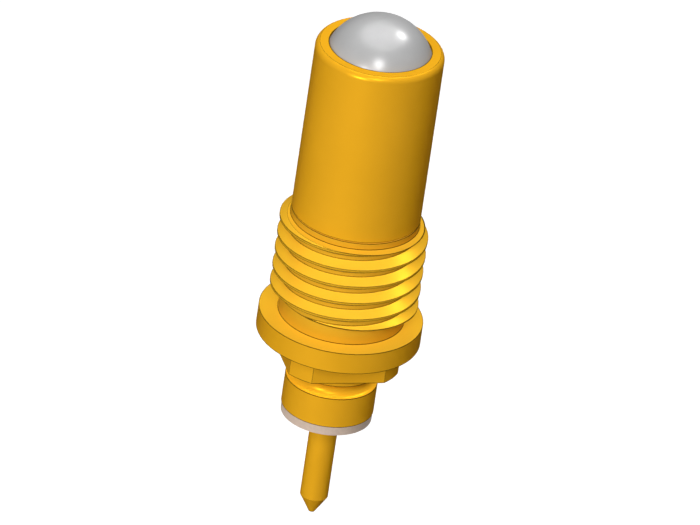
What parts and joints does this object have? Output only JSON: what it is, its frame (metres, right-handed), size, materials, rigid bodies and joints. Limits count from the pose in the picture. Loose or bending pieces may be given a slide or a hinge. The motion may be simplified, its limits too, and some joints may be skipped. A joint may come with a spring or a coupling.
{
  "type": "test probe",
  "caption": "Screw-in test probe: a sprung rolling ball in a plated sleeve, a threaded body with flange and wrench flats, and an insulated rear terminal pin.",
  "frame": {"origin": "centre of the flange face that seats on the fixture plate, on the probe's axis", "axes": "+Z along the probe's axis towards the ball; two of the four wrench flats face +X and -X, the others +Y and -Y"},
  "size_m": [0.0088, 0.0088, 0.0301],
  "materials": {
    "plated_body": "turned brass with gold plating, satin",
    "plated_sleeve": "turned brass with gold plating, satin",
    "plated_pin": "turned brass with gold plating, satin",
    "plated_contact": "gold-plated contact metal, smooth",
    "ball_steel": "ground bearing steel, satin bright",
    "cup_bronze": "turned bronze, plain",
    "spring_steel": "drawn stainless spring wire",
    "bush_brass": "turned brass, plain",
    "tube_plastic": "white fluoropolymer, matt",
    "insulator_plastic": "filled engineering plastic, matt grey with a pink cast"
  },
  "bodies": {
    "probe_body": {"threaded_body": "plated_body", "front_sleeve": "plated_sleeve", "main_spring": "spring_steel", "guide_bush": "bush_brass", "insulating_tube": "tube_plastic", "contact_clip": "plated_contact", "terminal_pin": "plated_pin", "rear_insulator": "insulator_plastic"},
    "plunger": {"ball_cup": "cup_bronze", "contact_stem": "plated_contact"},
    "ball": {"ball": "ball_steel"}
  },
  "joints": [
    {"name": "ball_press", "type": "slide", "parent": "probe_body", "child": "plunger", "axis": [0, 0, 1], "range_m": [-0.0015, 0], "stiffness_N_per_m": 1100, "springref_m": 0.0027, "deforming": ["main_spring"]},
    {"name": "ball_roll", "type": "hinge", "parent": "plunger", "child": "ball", "pos_m": [0, 0, 0.01492], "axis": [1, 0, 0], "continuous": true}
  ]
}
